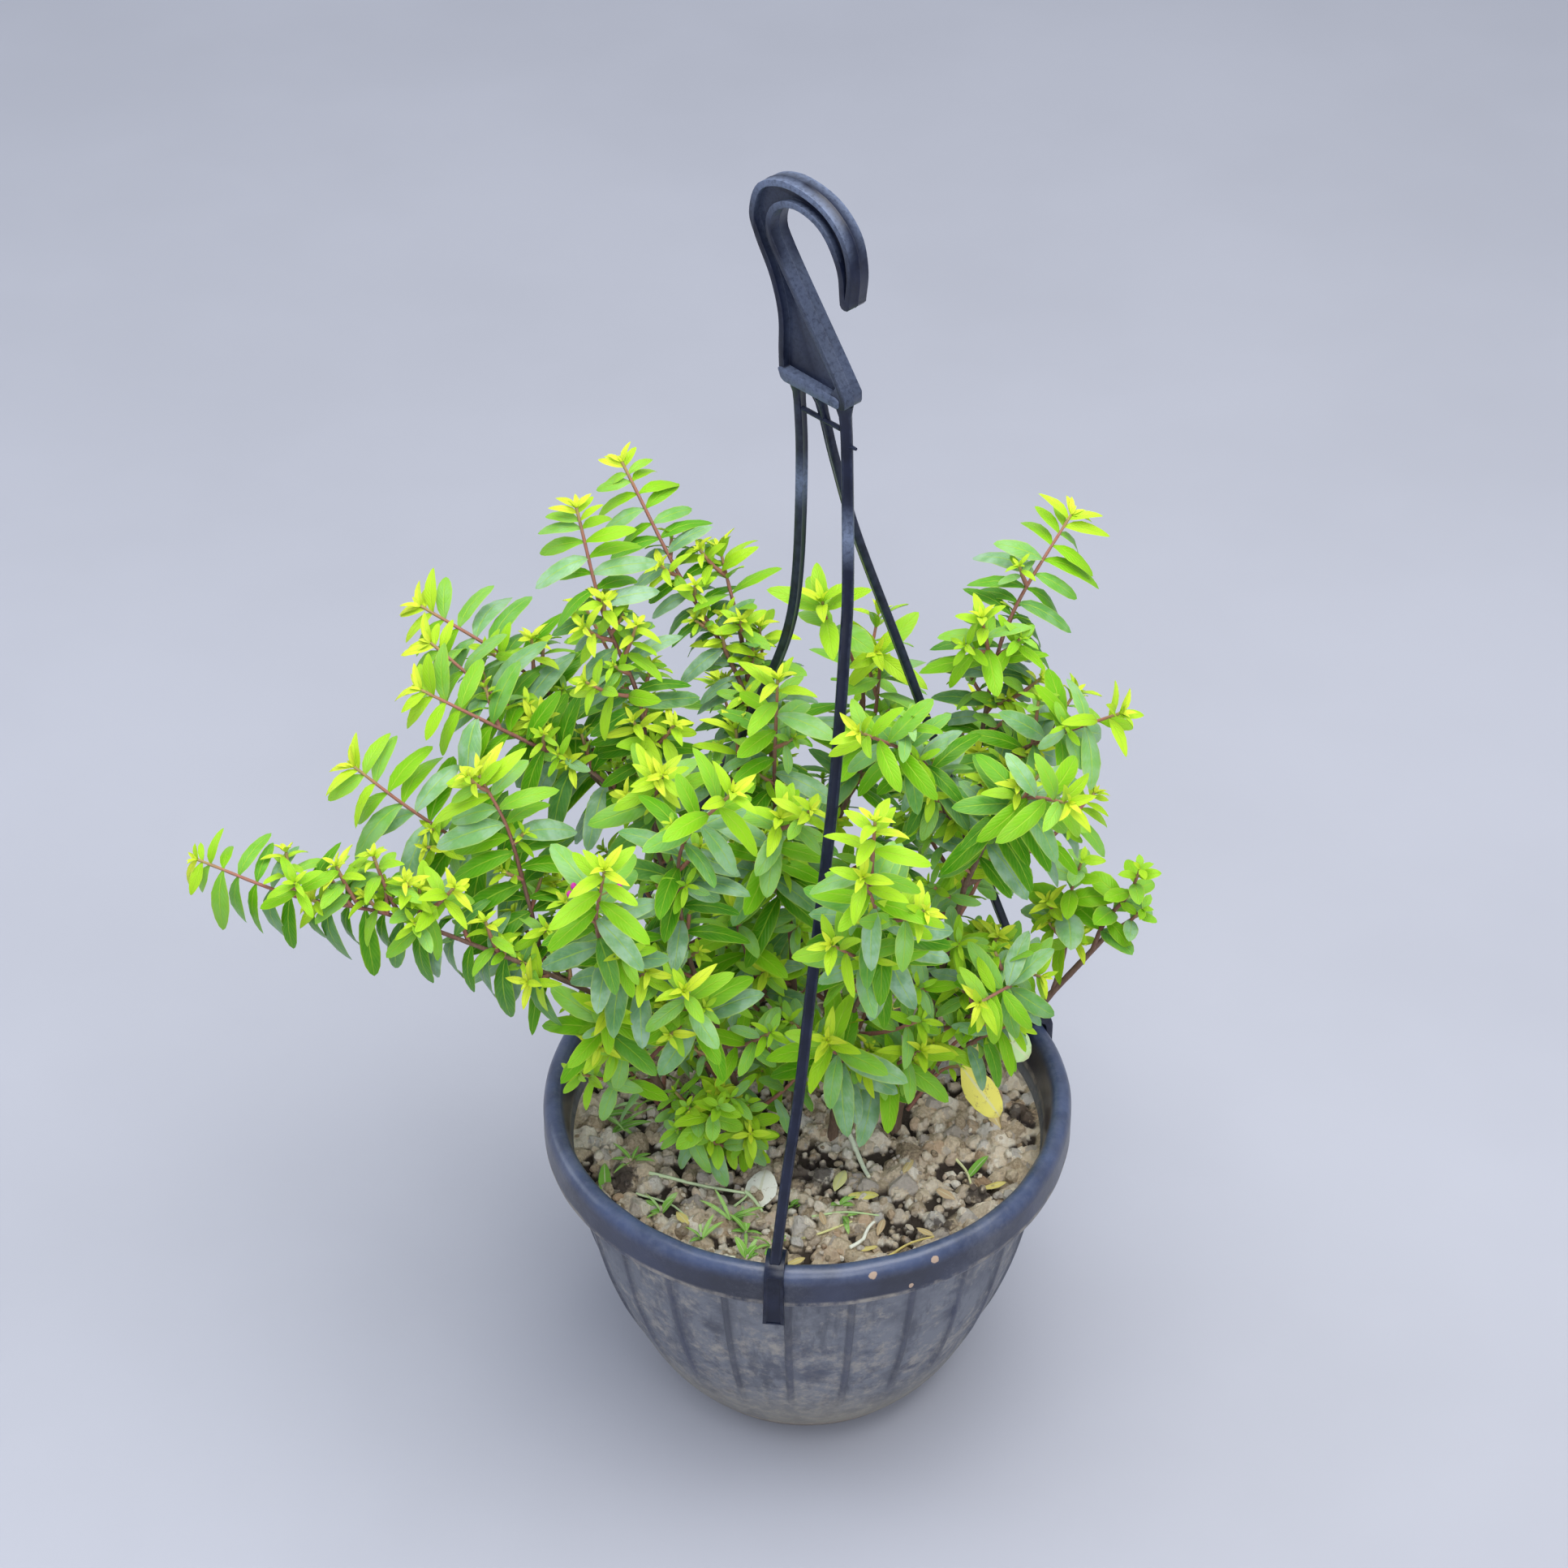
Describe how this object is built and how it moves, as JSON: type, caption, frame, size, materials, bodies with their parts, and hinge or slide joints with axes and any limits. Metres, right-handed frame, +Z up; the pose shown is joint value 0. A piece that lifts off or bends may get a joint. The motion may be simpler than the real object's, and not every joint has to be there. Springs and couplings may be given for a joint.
{
  "type": "potted false heather",
  "caption": "False heather with small bright green leaves in a rounded black plastic hanging pot, with a hook on clip-on straps. It stands on its foot or hangs from the hook.",
  "frame": {"origin": "centre of the pot's foot, on the surface that it stands on", "axes": "+Z up, -Y towards the picture's camera, +X to the right in the picture"},
  "size_m": [0.3563, 0.2337, 0.517],
  "materials": {
    "black_plastic": "moulded recycled plastic, dusty and mottled down the wall",
    "hanger_plastic": "satin moulded plastic with worn, lighter edges",
    "soil": "dry bark and peat potting mix, lumpy",
    "leaf": "small satin leaves, lime green at the tips and blue green below, on red-brown stems"
  },
  "bodies": {
    "root": {"hanger_strap_front": "hanger_plastic", "hanger_strap_right": "hanger_plastic", "hanger_strap_back": "hanger_plastic", "hanger_hook": "hanger_plastic", "pot": "black_plastic", "soil": "soil", "heather_stem_left_back": "leaf", "heather_stem_left": "leaf", "heather_stem_left_low": "leaf", "heather_stem_front_left": "leaf", "heather_stem_centre": "leaf", "heather_stem_front": "leaf", "heather_stem_right_front": "leaf", "heather_stem_right_back": "leaf", "heather_stem_twig": "leaf", "heather_stem_back": "leaf"}
  },
  "joints": []
}
